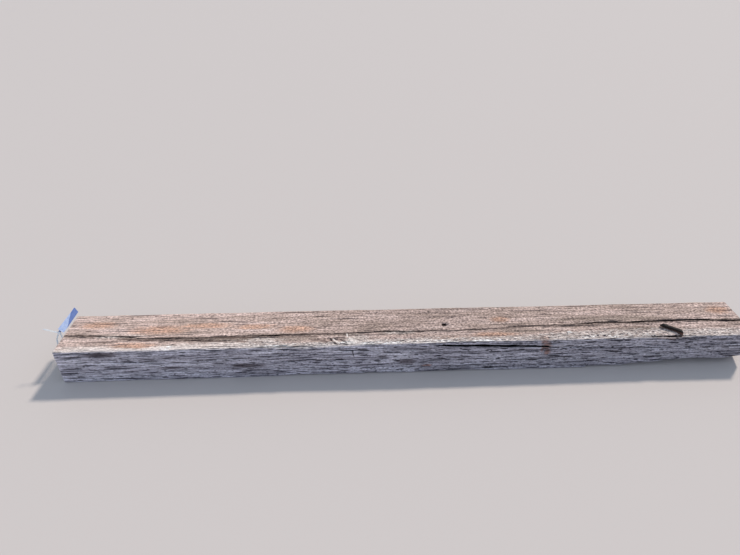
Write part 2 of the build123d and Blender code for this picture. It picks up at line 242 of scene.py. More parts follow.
# %% The rings' places along the length, with four of them on the walls of the drawn spike's hole
RINGS, WALL_RINGS = 322, 4
END_STEPS = np.array([0.0, 0.8, 2.2, 4.6]) * MM
CLEAR_OF_END, WALL = 9 * MM, 0.2 * MM
inner = np.linspace(-HALF_LENGTH + CLEAR_OF_END, HALF_LENGTH - CLEAR_OF_END, RINGS)
ring_x = np.concatenate([-HALF_LENGTH + END_STEPS, inner, (HALF_LENGTH - END_STEPS)[::-1]])
hole_edges = [HOLE_X - HOLE_SIDE / 2, HOLE_X + HOLE_SIDE / 2]
hole_ring = int(np.searchsorted(ring_x, hole_edges[0]))
ring_x[hole_ring:hole_ring + WALL_RINGS] = [edge + wall for edge in hole_edges for wall in (-WALL, WALL)]
ring_count = len(ring_x)
print("rings:", ring_count)


# %% Parts of one section: evenly spaced rows, a worn arris, and a check's two lips
def upright(values):
    return np.asarray(values)[:, None]


def flat_rows(start, end, count):
    """Evenly spaced rows between two lines that may wander; the ends are left out."""
    share = (np.arange(count) + 0.5) / count
    return upright(start) + (upright(end) - upright(start)) * share[None, :]


def worn_rows(inset, reach, count, roundness=WORN_ROUND):
    """An arris in section, from its flat face (0) round to its upright face (1), and its angles."""
    turned = np.linspace(0, 1, count)[None, :]
    turn = np.linspace(0, math.pi / 2, count)[None, :]
    return upright(inset) * (1 - turned) ** roundness, upright(reach) * turned ** roundness, turn


def check_rows(centre, opening, depth):
    """Seven rows that go down one lip of a check and up the other: (across, down) for each."""
    across = np.array([-0.5, -0.42, -0.22, 0.0, 0.22, 0.42, 0.5])[None, :]
    down = np.array([0.0, 0.14, 0.5, 1.0, 0.5, 0.14, 0.0])[None, :]
    return upright(centre) + across * upright(opening), down * upright(depth)


# %% The lines that the rows follow: ragged arrises and wavering checks
raggedness = [(-0.3, 0.9), (-0.18, 1.2), (0.16, 1.2), (0.2, 1.9), (0.34, 1.9), (0.5, 1.2)]
x = ring_x
chips = np.random.default_rng(31).uniform(-1, 1, (2, ring_count))
ragged = wander(x, 62 * MM, 2.2 * MM, 11) + along_table(x, raggedness, 1) * (
    wander(x, 21 * MM, 1.8 * MM, 12) + chips[0] * 1.3 * MM)
ragged_down = wander(x, 48 * MM, 1.5 * MM, 13) + wander(x, 18 * MM, 1.3 * MM, 18) + chips[1] * 1.1 * MM
top_inset = np.maximum(along_table(x, front_top_wear, 1) * MM + ragged, 4 * MM)
top_reach = np.maximum(along_table(x, front_top_wear, 2) * MM + ragged_down, 1.5 * MM)
wane_inset = np.maximum(along_table(x, front_bed_wear, 1) * MM + wander(x, 70 * MM, 1.4 * MM, 14), 2 * MM)
wane_reach = np.maximum(along_table(x, front_bed_wear, 2) * MM + wander(x, 35 * MM, 1.8 * MM, 15), 2 * MM)
back_inset = along_table(x, back_top_wear, 1) * MM + wander(x, 50 * MM, 1.8 * MM, 16)
back_reach = along_table(x, back_top_wear, 2) * MM + wander(x, 50 * MM, 1.8 * MM, 17)
bed_inset = along_table(x, back_bed_wear, 1) * MM
bed_reach = along_table(x, back_bed_wear, 2) * MM

top_y = along_table(x, top_check, 1) * WIDTH + wander(x, 34 * MM, 1.6 * MM, 21)
top_y = top_y + wander(x, 13 * MM, 0.7 * MM, 25)
top_open = along_table(x, top_check, 2) * (1 + wander(x, 46 * MM, 0.5, 22))
front_z = along_table(x, front_check, 1) * HEIGHT + wander(x, 48 * MM, 1.3 * MM, 23)
inside = (x > front_check[0][0] * LENGTH) & (x < front_check[-1][0] * LENGTH)
front_open = np.where(inside, along_table(x, front_check, 2) * (1 + wander(x, 50 * MM, 0.3, 24)), 0.0)

# %% The section, stretch by stretch, from the bed's back edge up the front and over to the back
ROWS = {"bed": 15, "wane": 10, "front_low": 54, "front_high": 16, "arris": 11, "top_front": 42,
        "top_back": 62, "back_arris": 7, "back": 34, "back_bed": 5}
FRONT_CHECK_AT, TOP_CHECK_AT = 0.82 * HEIGHT, -0.12 * WIDTH      # near the middle of each one's range
stretches = {}      # (y, z, how far down in a check, outward y, outward z) for each


def stretch(name, y, z, sunk=0.0, out_y=0.0, out_z=0.0):
    y, z = np.broadcast_arrays(y, z)
    stretches[name] = [np.broadcast_to(v, y.shape) for v in (y, z, sunk, out_y, out_z)]


bed_y = flat_rows(HALF_WIDTH - bed_inset, -HALF_WIDTH + wane_inset, ROWS["bed"])
stretch("bed", bed_y, np.zeros_like(bed_y), out_z=-1.0)

inset, reach, turn = worn_rows(wane_inset, wane_reach, ROWS["wane"], SPLIT_AWAY)
stretch("wane", -HALF_WIDTH + inset, reach, out_y=-np.sin(turn), out_z=-np.cos(turn))

LIP = 0.6 * MM
half_open = front_open * FRONT_CHECK_OPENING / 2 + LIP
stretch("front_low", -HALF_WIDTH, flat_rows(wane_reach, front_z - half_open, ROWS["front_low"]), out_y=-1.0)
across, down = check_rows(front_z, 2 * half_open, front_open * FRONT_CHECK_DEPTH)
to_heart = Vector((HEART_Y + HALF_WIDTH, HEART_Z - FRONT_CHECK_AT)).normalized()
stretch("front_check", -HALF_WIDTH + down * to_heart.x, across + down * to_heart.y, sunk=down, out_y=-1.0)
stretch("front_high", -HALF_WIDTH, flat_rows(front_z + half_open, HEIGHT - top_reach, ROWS["front_high"]),
        out_y=-1.0)

inset, reach, turn = worn_rows(top_inset, top_reach, ROWS["arris"])
stretch("arris", -HALF_WIDTH + inset[:, ::-1], HEIGHT - reach[:, ::-1], out_y=-np.cos(turn),
        out_z=np.sin(turn))

half_open = top_open * TOP_CHECK_OPENING / 2 + LIP
stretch("top_front", flat_rows(-HALF_WIDTH + top_inset, top_y - half_open, ROWS["top_front"]), HEIGHT,
        out_z=1.0)
across, down = check_rows(top_y, 2 * half_open, top_open * TOP_CHECK_DEPTH)
to_heart = Vector((HEART_Y - TOP_CHECK_AT, HEART_Z - HEIGHT)).normalized()
stretch("top_check", across + down * to_heart.x, HEIGHT + down * to_heart.y, sunk=down, out_z=1.0)
stretch("top_back", flat_rows(top_y + half_open, HALF_WIDTH - back_inset, ROWS["top_back"]), HEIGHT,
        out_z=1.0)

inset, reach, turn = worn_rows(back_inset, back_reach, ROWS["back_arris"])
stretch("back_arris", HALF_WIDTH - inset, HEIGHT - reach, out_y=np.sin(turn), out_z=np.cos(turn))
stretch("back", HALF_WIDTH, flat_rows(HEIGHT - back_reach, bed_reach, ROWS["back"]), out_y=1.0)
inset, reach, turn = worn_rows(bed_inset, bed_reach, ROWS["back_bed"])
stretch("back_bed", HALF_WIDTH - inset[:, ::-1], reach[:, ::-1], out_y=np.cos(turn), out_z=-np.sin(turn))

ring_y, ring_z, ring_sunk, ring_out_y, ring_out_z = (
    np.concatenate([part[i] for part in stretches.values()], axis=1) for i in range(5))
rows = ring_y.shape[1]
first_row = dict(zip(stretches, np.cumsum([0] + [part[0].shape[1] for part in stretches.values()])))
print("points in a ring:", rows)


def rows_of(first, last):
    """The rows from one named stretch to another."""
    return slice(first_row[first], first_row[last] + stretches[last][0].shape[1])


# %% [markdown]
# ## The map of the grain
#
# Grain runs along the timber whichever face it shows on, so every pattern is drawn on one flat map
# wrapped round the section. `around` is the distance across the grain, measured from the front
# bottom corner up the front, over the top and down the back. A pattern drawn on it turns the
# arrises without a seam, and its one seam lies under the back edge.

# %% Distance round the section
ON_BED = 0.5 * MM
around = np.where(ring_z < ON_BED, -(ring_y + HALF_WIDTH), ring_z + ring_y + HALF_WIDTH)
wane = rows_of("wane", "wane")
around[:, wane] = ring_z[:, wane] - (ring_y[:, wane] + HALF_WIDTH)
behind = rows_of("back_arris", "back_bed")
around[:, behind] = HEIGHT + ring_y[:, behind] + HALF_WIDTH + (HEIGHT - ring_z[:, behind])

# %% [markdown]
# ## Smaller cuts
#
# The short checks, the split at the spike, the rot pocket and the gouge are too many to have rows
# of their own. A narrow cut borrows the three nearest rows of a stretch, which move onto its root
# and its two lips. A wide hollow just presses down the rows that it covers.

# %% Cuts pressed into the rows
GOUGE_SHADE, POCKET_SHADE = 0.1, 0.4
ring_cut, ring_shade = np.zeros_like(ring_y), np.zeros_like(ring_y)


def press(stretch_rows, across, line, size, width, depth, shade=1.0):
    """Cut a V along a line. Across is the rings' y on top or z in front, and size its full extent.

    The shade says how much of its depth darkens it: an open hollow stays light."""
    seed = int(abs(line[0][0]) * 1000)
    centre = along_table(ring_x, line, 1) * size + wander(ring_x, 24 * MM, 0.8 * MM, seed)
    open_share = along_table(ring_x, line, 2) * (1 + wander(ring_x, 30 * MM, 0.25, 5))
    covered = (ring_x > line[0][0] * LENGTH - MM) & (ring_x < line[-1][0] * LENGTH + MM)
    part, cut, dark = across[:, stretch_rows], ring_cut[:, stretch_rows], ring_shade[:, stretch_rows]
    for ring in np.flatnonzero(covered):
        half = open_share[ring] * width / 2
        apart = part[ring] - centre[ring]
        root = int(np.clip(np.abs(apart).argmin(), 1, part.shape[1] - 2))
        step = part[ring, root + 1] - part[ring, root]
        if half < abs(step):
            part[ring, root - 1:root + 2] = centre[ring] + math.copysign(half, step) * np.array([-1, 0, 1])
            cut[ring, root] = max(cut[ring, root], open_share[ring] * depth)
            dark[ring, root] = max(dark[ring, root], open_share[ring] * depth * shade)
        else:
            hollow = np.clip(1 - np.abs(apart) / half, 0, 1) * open_share[ring] * depth
            cut[ring] = np.maximum(cut[ring], hollow)
            dark[ring] = np.maximum(dark[ring], hollow * shade)


before_check, under_check = rows_of("top_front", "top_front"), rows_of("front_low", "front_low")
press(before_check, ring_y, top_tail_line, WIDTH, TOP_CHECK_OPENING, TOP_CHECK_DEPTH / 2)
press(before_check, ring_y, top_side_line, WIDTH, SHORT_CHECK_OPENING, SHORT_CHECK_DEPTH)
press(before_check, ring_y, gouge_line, WIDTH, GOUGE_WIDTH, GOUGE_DEPTH, GOUGE_SHADE)
press(rows_of("arris", "arris"), ring_y, spike_split_line, WIDTH, SPLIT_OPENING, SPLIT_DEPTH)
press(rows_of("front_low", "front_high"), ring_z, rot_pocket_line, HEIGHT, POCKET_WIDTH, POCKET_DEPTH,
      POCKET_SHADE)
for lines, width, depth in ((front_lines, HAIR_WIDTH, HAIR_DEPTH),
                            (short_lines, SHORT_CHECK_OPENING, SHORT_CHECK_DEPTH)):
    for line in lines:
        press(under_check, ring_z, line, HEIGHT, width, depth)

# %% The drawn spike's square hole, with upright walls
hole_rows = np.arange(first_row["top_back"], first_row["back_arris"])
for ring in range(hole_ring, hole_ring + WALL_RINGS):
    inside = hole_rows[np.abs(ring_y[ring, hole_rows] - HOLE_Y) < HOLE_SIDE / 2]
    for edge, row in ((-1, inside[0]), (1, inside[-1])):
        ring_y[ring, row] = HOLE_Y + edge * (HOLE_SIDE / 2 - WALL)
        ring_y[ring, row + edge] = HOLE_Y + edge * (HOLE_SIDE / 2 + WALL)
    if 0 < ring - hole_ring < WALL_RINGS - 1:
        ring_cut[ring, inside] = ring_shade[ring, inside] = HOLE_DEPTH

ring_y -= ring_out_y * ring_cut
ring_z -= ring_out_z * ring_cut
ring_sunk = ring_sunk + ring_shade
print("deepest cut (mm):", round(float(ring_sunk.max()) / MM, 1))

# %% [markdown]
# ## The ends
#
# Both ends are saw cuts, slightly out of square, with edges that handling has rounded. The last
# rings close in a little for that round, and smaller and smaller rings then close the end towards
# the heart of the log. Four radial checks are cut into them, deepest near the heart.

# %% Rounded edges and the skew of the saw cuts
from_end = np.concatenate([END_STEPS, np.full(RINGS, END_ROUND), END_STEPS[::-1]])
rounding = END_ROUND - np.sqrt(END_ROUND ** 2 - (END_ROUND - from_end) ** 2)
reach_y, reach_z = ring_y - HEART_Y, ring_z - HEART_Z
shrink = 1 - upright(rounding) / np.hypot(reach_y, reach_z)
ring_y, ring_z = HEART_Y + reach_y * shrink, HEART_Z + reach_z * shrink
share = upright((ring_x + HALF_LENGTH) / LENGTH)


def end_x(side, y):
    skew = LEFT_SKEW if side < 0 else RIGHT_SKEW
    return side * (HALF_LENGTH - skew * (y + HALF_WIDTH) / WIDTH)


left, right = end_x(-1, ring_y), end_x(1, ring_y)
ring_full_x = left + (right - left) * share

# %% Rings that close an end, with its radial checks
CAP_SHARES = [0.985, 0.95, 0.9, 0.84, 0.77, 0.7, 0.62, 0.54, 0.46, 0.38, 0.3, 0.22, 0.14, 0.07]
# Each check: its angle, reach and depth.
END_CHECKS = [(12.0, 78 * MM, 26 * MM), (98.0, 58 * MM, 26 * MM), (171.0, 78 * MM, 26 * MM),
              (262.0, 58 * MM, 7 * MM)]
HEART_DEPTH = 6.5 * MM
END_WEAR, WEAR_STEP = 1.2 * MM, 3.5 * MM


def cap_ring(side, ring, scale):
    """One ring of an end face, scaled towards the heart, with the radial checks cut in."""
    y = HEART_Y + (ring_y[ring] - HEART_Y) * scale
    z = HEART_Z + (ring_z[ring] - HEART_Z) * scale
    bearing = np.degrees(np.arctan2(z - HEART_Z, side * (y - HEART_Y)))
    radius = np.hypot(y - HEART_Y, z - HEART_Z)
    down = END_WEAR * (1 - scale) * (1 + np.sin(radius / WEAR_STEP))
    for angle, check_reach, check_depth in END_CHECKS:
        apart = np.abs((bearing - angle + 180) % 360 - 180)
        row = int(apart.argmin())
        down[row] += check_depth * max(0.0, 1 - radius[row] / check_reach) ** 0.5
    return end_x(side, y) - side * down, y, z, down


# %% Put the skin together
corners = [np.stack([ring_full_x, ring_y, ring_z], axis=2).reshape(-1, 3)]
attributes = {"around": [around.ravel()], "sunk": [ring_sunk.ravel()], "end_grain": [np.zeros(ring_y.size)],
              "out_x": [np.zeros(ring_y.size)], "out_y": [ring_out_y.ravel()], "out_z": [ring_out_z.ravel()]}
faces = []


def store(count, **values):
    """Add the attributes of this many new corners."""
    for name, value in values.items():
        attributes[name].append(np.broadcast_to(value, count).astype(float))


for i in range(ring_count - 1):
    for j in range(rows):
        k = (j + 1) % rows
        faces.append((i * rows + j, (i + 1) * rows + j, (i + 1) * rows + k, i * rows + k))

next_corner = ring_count * rows
for side, ring in ((-1, 0), (1, ring_count - 1)):
    previous = ring * rows
    for scale in CAP_SHARES:
        cap_x, cap_y, cap_z, cap_down = cap_ring(side, ring, scale)
        corners.append(np.stack([cap_x, cap_y, cap_z], axis=1))
        store(rows, around=around[ring], sunk=cap_down, end_grain=1.0, out_x=side, out_y=0.0, out_z=0.0)
        for j in range(rows):
            k = (j + 1) % rows
            quad = (previous + j, previous + k, next_corner + k, next_corner + j)
            faces.append(quad if side > 0 else quad[::-1])
        previous = next_corner
        next_corner += rows
    corners.append(np.array([[end_x(side, HEART_Y) - side * HEART_DEPTH, HEART_Y, HEART_Z]]))
    store(1, around=0.0, sunk=HEART_DEPTH, end_grain=1.0, out_x=side, out_y=0.0, out_z=0.0)
    for j in range(rows):
        k = (j + 1) % rows
        fan = (previous + j, previous + k, next_corner)
        faces.append(fan if side > 0 else fan[::-1])
    next_corner += 1

corners = np.concatenate(corners)
attributes = {name: np.concatenate(parts) for name, parts in attributes.items()}
print("skin:", len(corners), "corners,", sum(len(f) - 2 for f in faces), "triangles")

# %% [markdown]
# ## Stains, painted by place
#
# Sun, iron and water have marked the timber in patches, and where they lie is part of this
# object's own look. Each patch is listed: its middle on its face, how far it spreads along
# and across the grain, all in millimetres. The bleached band along the top front arris is wider in
# some places than in others, so it has a table of its own.

# %% Patches
top_patches = {
    "orange": [(-945, 6, 100, 22), (-1025, -80, 72, 20), (-445, -6, 62, 18), (-600, 14, 70, 14),
               (-765, -86, 30, 8), (126, -79, 60, 9), (339, 22, 34, 16), (300, -64, 80, 13),
               (1228, 48, 44, 22), (-1180, 40, 60, 18), (-780, 24, 90, 14)],
    "pale": [(-1200, -84, 100, 13), (-560, -62, 70, 10), (-1080, -25, 90, 8), (-60, -40, 60, 9),
             (-215, -68, 45, 22)],
    "grey": [(-900, -48, 70, 13), (-700, -52, 150, 13), (-480, -60, 110, 15), (860, -54, 90, 14),
             (760, 12, 260, 15), (-250, -46, 60, 8), (-1150, -18, 70, 8), (420, -48, 90, 8)],
    "brown": [(780, -6, 22, 9), (116, -2, 9, 8)],
    "rust": [(1008, -92, 20, 12), (486, -95, 26, 15)],
    "chips": [(-905, -99, 13, 6), (-890, -87, 10, 5), (-918, -93, 8, 4), (-255, -86, 26, 7),
              (560, -76, 26, 9), (586, -62, 10, 7), (655, -88, 40, 8), (762, -88, 44, 8), (880, -86, 30, 8),
              (-150, -94, 110, 7), (60, -93, 110, 6), (250, -95, 90, 5), (-520, -95, 70, 5)],
}
front_patches = {
    "rust": [(481, 141, 13, 12), (492, 120, 16, 18), (499, 90, 10, 18), (477, 106, 6, 14), (44, 38, 18, 5)],
    "brown": [(-34, 60, 36, 13), (-1130, 132, 60, 14), (-620, 62, 60, 9), (-900, 60, 40, 7)],
}

# %% How far and how strongly the weather marks it, along the timber
bleached_width = [(-0.50, 15), (-0.42, 19), (-0.385, 11), (-0.34, 28), (-0.28, 36), (-0.22, 38), (-0.18, 22),
                  (-0.12, 20), (-0.06, 27), (0.0, 28), (0.10, 25), (0.17, 27), (0.21, 37), (0.30, 44),
                  (0.38, 40), (0.45, 38), (0.50, 36)]
stained_beside_check = [(-0.50, 5), (-0.42, 12), (-0.30, 11), (-0.22, 9), (-0.16, 6), (-0.1, 5), (0.20, 4),
                        (0.26, 6), (0.30, 12), (0.36, 12), (0.43, 8), (0.50, 8)]
stain_ahead_of_check = [(-0.50, 0), (-0.44, 5), (-0.22, 6), (-0.16, 0), (0.18, 0), (0.24, 7), (0.34, 8),
                        (0.42, 0), (0.50, 0)]
front_bleaching = [(-0.50, 1.6), (-0.485, 1.36), (-0.30, 1.32), (-0.10, 1.22), (0.05, 1.16), (0.25, 1.1),
                   (0.50, 0.98)]
top_bleaching = [(-0.50, 1.18), (-0.30, 1.12), (-0.16, 1.0), (-0.09, 0.92), (0.0, 0.84), (0.09, 0.86),
                 (0.13, 0.93), (0.50, 0.98)]
gritty_share = [(-0.50, 0.6), (-0.30, 0.75), (-0.15, 1.0), (0.0, 1.0), (0.50, 1.0)]
splinter_share = [(-0.50, 0.1), (-0.30, 0.2), (-0.18, 0.7), (0.16, 0.8), (0.20, 1.0), (0.34, 1.0),
                  (0.50, 0.6)]

# %% Store every mark on the skin's corners
# Each mark is gone at this share of its own reach, and at full strength at one less
PATCH_FADE, BAND_FADE, DAMP_FADE = 1.5, 1.45, 1.3
BAND_OVER_ARRIS = 1.8      # above 1, the band reaches full strength before the top lies flat
BARE_END, BARE_ARRIS = 40 * MM, 5 * MM      # no splinters so near an end or the arris itself


def patch_strength(along, across, patches):
    """1 in the middle of a patch, falling to 0 past its edge."""
    strength = np.zeros(len(along))
    for at_x, at_across, half_x, half_across in patches:
        r = np.hypot((along / MM - at_x) / half_x, (across / MM - at_across) / half_across)
        strength = np.maximum(strength, np.clip(PATCH_FADE - r, 0, 1))
    return strength


corner_x, corner_y, corner_z = corners.T
on_top, on_front = np.clip(attributes["out_z"], 0, 1), np.clip(-attributes["out_y"], 0, 1)
for stain in ("orange", "pale", "grey", "rust", "brown", "chips"):
    above = patch_strength(corner_x, corner_y, top_patches.get(stain, [])) * on_top
    before = patch_strength(corner_x, corner_z, front_patches.get(stain, [])) * on_front
    attributes[stain] = np.maximum(above, before)
from_arris = corner_y + HALF_WIDTH
reach_over = from_arris / (along_table(corner_x, bleached_width, 1) * MM)
attributes["bleached"] = (np.clip(BAND_FADE - reach_over, 0, 1)
                          * np.clip(attributes["out_z"] * BAND_OVER_ARRIS, 0, 1))
stain_y = along_table(corner_x, top_check, 1) * WIDTH
stain_y -= along_table(corner_x, stain_ahead_of_check, 1) * MM + wander(corner_x, 90 * MM, 4 * MM, 42)
from_check = np.abs(corner_y - stain_y)
stain_reach = along_table(corner_x, stained_beside_check, 1) * MM
stain_reach *= 1 + wander(corner_x, 55 * MM, 0.55, 41)
attributes["damp"] = np.clip(DAMP_FADE - from_check / stain_reach, 0, 1) * on_top
attributes["bleaching"] = 1 + on_front * (along_table(corner_x, front_bleaching, 1) - 1)
attributes["bleaching"] += (on_top * (1 - attributes["bleached"])
                            * (along_table(corner_x, top_bleaching, 1) - 1))
attributes["gritty"] = along_table(corner_x, gritty_share, 1)
clear_of_edges = (np.abs(corner_x) < HALF_LENGTH - BARE_END) & (from_arris > BARE_ARRIS)
attributes["splintery"] = attributes["bleached"] * along_table(corner_x, splinter_share, 1) * clear_of_edges

timber = mesh_piece("sleeper_skin", corners, faces)
for name, values in attributes.items():
    timber.data.attributes.new(name, "FLOAT", "POINT").data.foreach_set("value", values.astype(np.float32))


# %% [markdown]
# ## Patterns that the relief and the colour share
#
# The face of old sawn wood is full of lens-shaped slits that all run with the grain. A Voronoi
# texture scatters one centre in each long, low cell, and a little arithmetic turns the distance
# from it into a lens with pointed ends. The same function draws the pattern in the Geometry Nodes
# tree, where it becomes depth, and in the material, where it becomes the slits' painted shade, so they agree.

# %% A noise that pushes both ways from its level of rest, or one way when that is its peak
def swing(tree, noise, rest, height, base=0.0):
    """(noise - rest) * height + base."""
    away = add(tree, "Math", [noise, rest], operation="SUBTRACT")
    return add(tree, "Math", [away, height, base], operation="MULTIPLY_ADD")


# %% The grain's own coordinates, with a slow wave
WAVE_ALONG, WAVE_ACROSS, WAVE_PUSH = 420 * MM, 70 * MM, 18 * MM
NOISE_MEAN, NOISE_PEAK = 0.5, 0.7


def grain_place(tree, x_socket, around_socket):
    """(along, around) in metres, pushed sideways a little so that lines of grain waver."""
    flat = add(tree, "CombineXYZ", [x_socket, around_socket])
    slow = add(tree, "VectorMath", [flat, (1 / WAVE_ALONG, 1 / WAVE_ACROSS, 1)], operation="MULTIPLY")
    push = add(tree, "TexNoise", {"Vector": slow, "Scale": 1.0, "Detail": 2.0}, noise_dimensions="2D")
    bent = swing(tree, push, NOISE_MEAN, WAVE_PUSH, around_socket)
    return add(tree, "CombineXYZ", [x_socket, bent])


# %% A field of lens-shaped cuts
LEAST_CUT, SIDE_SHIFT = 0.3, 0.37


def lens_cuts(tree, place, cell, half, shift=0.0):
    """0 on the face and 1 at the bottom of a cut. Cell and half size are (along, across) in metres."""
    moved = add(tree, "VectorMath", [place, (shift, shift * SIDE_SHIFT, 0)], operation="ADD")
    scaled = add(tree, "VectorMath", [moved, (1 / cell[0], 1 / cell[1], 1)], operation="MULTIPLY")
    field = add(tree, "TexVoronoi", {"Vector": scaled, "Scale": 1.0, "Randomness": 0.9},
                voronoi_dimensions="2D", distance="MANHATTAN")
    apart = add(tree, "VectorMath", [scaled, field.outputs["Position"]], operation="SUBTRACT")
    apart = add(tree, "SeparateXYZ", [apart])
    chance = add(tree, "SeparateXYZ", [field.outputs["Color"]])
    reach = [0.0, 0.0]
    for axis in (0, 1):
        largest = half[axis] / cell[axis]
        reach[axis] = add(tree, "MapRange", {"Value": chance.outputs[axis], "To Min": LEAST_CUT * largest,
                                             "To Max": largest})
    out = add(tree, "Math", [apart.outputs[0], reach[0]], operation="DIVIDE")
    out = add(tree, "Math", [out, out], operation="MULTIPLY")
    up = add(tree, "Math", [apart.outputs[1], reach[1]], operation="DIVIDE")
    up = add(tree, "Math", [up], operation="ABSOLUTE")
    left_over = add(tree, "Math", [1.0, out], operation="SUBTRACT")
    return add(tree, "Math", [left_over, up], operation="SUBTRACT", use_clamp=True)


# %% Streaks of early and late wood
def streaks(tree, place, along, across, detail=3.0):
    """Noise from 0 to 1 whose features are this long and this wide, in metres."""
    scaled = add(tree, "VectorMath", [place, (1 / along, 1 / across, 1)], operation="MULTIPLY")
    return add(tree, "TexNoise", {"Vector": scaled, "Scale": 1.0, "Detail": detail, "Roughness": 0.6},
               noise_dimensions="2D")


# Each field: cell, half size, shift, depth in the relief, share of it on the top, and the strength of the
# painted shade in its cuts
cut_fields = {
    "slits": ((78 * MM, 14 * MM), (36 * MM, 3.6 * MM), 0.0, 3.6 * MM, 0.10, 8.0),
    "dashes": ((31 * MM, 10 * MM), (12 * MM, 2.4 * MM), 3.1, 1.8 * MM, 0.25, 1.8),
    "checks": ((290 * MM, 22 * MM), (140 * MM, 2.8 * MM), 5.3, 5.0 * MM, 0.30, 6.0),
    "hairs": ((170 * MM, 11 * MM), (80 * MM, 1.5 * MM), 7.7, 1.2 * MM, 0.50, 1.5),
    "pits": ((75 * MM, 38 * MM), (8 * MM, 4 * MM), 11.9, 1.0 * MM, 0.80, 1.5),
}

# %% [markdown]
# ## Relief by Geometry Nodes
#
# Rain washes out the soft early wood and leaves the late wood standing in ridges, and every slit
# gapes a little. A bump map alone would leave the arrises ruler-straight, so this relief is real.
# One tree moves each corner of the skin along its face's own outward direction, which the rings
# stored, so a ridge never slides sideways into a check. It only ever moves inwards, because the
# sawn size is the most that the timber can measure.

# %% The weathering tree
g, given = new_tree("weathering", {"Ridge height": 3.2 * MM, "Saw wave": 2.2 * MM, "Cut depth": 1.0})
stored = {name: add(g, "GeometryNodeInputNamedAttribute", {"Name": name}, data_type="FLOAT")
          for name in ("around", "sunk", "out_x", "out_y", "out_z")}
position = add(g, "SeparateXYZ", [add(g, "GeometryNodeInputPosition")])
place = grain_place(g, position.outputs[0], stored["around"])
upward = add(g, "MapRange", {"Value": stored["out_z"], "From Min": 0.2, "From Max": 0.8})

ridges = swing(g, streaks(g, place, 120 * MM, 5 * MM), NOISE_PEAK, given.outputs["Ridge height"])
wave = streaks(g, place, 380 * MM, 60 * MM, detail=1.0)
out = swing(g, wave, NOISE_PEAK, given.outputs["Saw wave"], ridges)
for cell, half, shift, depth, top_share, painted_cut_shade in cut_fields.values():
    cut = lens_cuts(g, place, cell, half, shift)
    here = add(g, "MapRange", {"Value": upward, "To Min": depth, "To Max": depth * top_share})
    cut = add(g, "Math", [cut, here], operation="MULTIPLY")
    cut = add(g, "Math", [cut, given.outputs["Cut depth"]], operation="MULTIPLY")
    out = add(g, "Math", [out, cut], operation="SUBTRACT")
out = add(g, "Math", [out, 0.0], operation="MINIMUM")
shallow = add(g, "MapRange", {"Value": stored["sunk"], "From Max": 8 * MM, "To Min": 1.0, "To Max": 0.0})
out = add(g, "Math", [out, shallow], operation="MULTIPLY")
calm = add(g, "MapRange", {"Value": stored["out_z"], "From Min": -0.9, "From Max": -0.5})
out = add(g, "Math", [out, calm], operation="MULTIPLY")
outward = add(g, "CombineXYZ", [stored["out_x"], stored["out_y"], stored["out_z"]])
offset = add(g, "VectorMath", {0: outward, "Scale": out}, operation="SCALE")
moved = add(g, "GeometryNodeSetPosition", {"Geometry": given.outputs["Geometry"], "Offset": offset})
add(g, "NodeGroupOutput", {"Geometry": moved})

timber.modifiers.new("weathering", "NODES").node_group = g
worn_mesh = make_plain(timber)
for face in worn_mesh.polygons:
    face.use_smooth = True
print("weathered skin:", len(worn_mesh.polygons), "faces")

# %% [markdown]
# ## Weathered hardwood
#
# The real finish is bare oak-like hardwood, sawn and never planed, bleached by sun and rain, with
# no gloss at all. To the eye it is four scales of tone on top of each other: broad mottling,
# streaks along the grain, short dashes, and grit. A wood photograph could be wrapped round it, but
# noise on the grain's own map follows the arrises, has its one seam under the back edge and stays
# sharp at any distance.

# %% Tones of the faces
wood, w, shader = new_material("weathered_hardwood", roughness=0.9)
felt = {name: add(w, "Attribute", attribute_name=name).outputs["Fac"] for name in attributes}
where = add(w, "TexCoord").outputs["Object"]
where_x = add(w, "SeparateXYZ", [where])
place = grain_place(w, where_x.outputs[0], felt["around"])

mottle = streaks(w, place, 240 * MM, 36 * MM, detail=2.0)
vein = streaks(w, place, 380 * MM, 7 * MM, detail=2.0)
streak = streaks(w, place, 100 * MM, 5 * MM)
dash = streaks(w, place, 26 * MM, 5 * MM, detail=2.0)
grit = streaks(w, place, 9 * MM, 5.5 * MM, detail=3.0)
broad = 0.0
for noise, weight in ((mottle, 0.36), (vein, 0.30), (streak, 0.34)):
    broad = add(w, "Math", [noise, weight, broad], operation="MULTIPLY_ADD")
top_tone = add(w, "ValToRGB", [broad], [(0.35, "#a28f86"), (0.45, "#b9a39a"), (0.54, "#c8b1a9"),
                                        (0.65, "#d9c5be")])
# The long faces' weathered grey, with a blue cast that is painted shade from the open sky
grey_with_sky_shade = add(w, "ValToRGB", [broad], [(0.36, "#7b7780"), (0.45, "#9d99a4"), (0.54, "#afabb6"),
                                         (0.64, "#bebbc5")])
sunny = add(w, "MapRange", {"Value": felt["out_z"], "From Min": 0.25, "From Max": 0.75}).outputs[0]
tone = add(w, "Mix", {0: sunny, 6: grey_with_sky_shade.outputs[0], 7: top_tone.outputs[0]}, data_type="RGBA").outputs[2]
# The long faces' cool blue cast is painted skylight shade, and would look lilac on the back, which lies in
# the sun, so a warm tint takes it out there
at_back = add(w, "MapRange", {"Value": felt["out_y"], "From Min": 0.2, "From Max": 0.8})
tone = add(w, "Mix", {0: at_back, 6: tone, 7: hex_colour("#fffcea")}, data_type="RGBA",
           blend_type="MULTIPLY").outputs[2]
pink = add(w, "MapRange", {"Value": mottle, "From Min": 0.45, "From Max": 0.7, "To Max": 0.2})
pink = add(w, "Math", [pink, sunny], operation="MULTIPLY")
tone = add(w, "Mix", {0: pink, 6: tone, 7: hex_colour("#d2b6b1")}, data_type="RGBA").outputs[2]

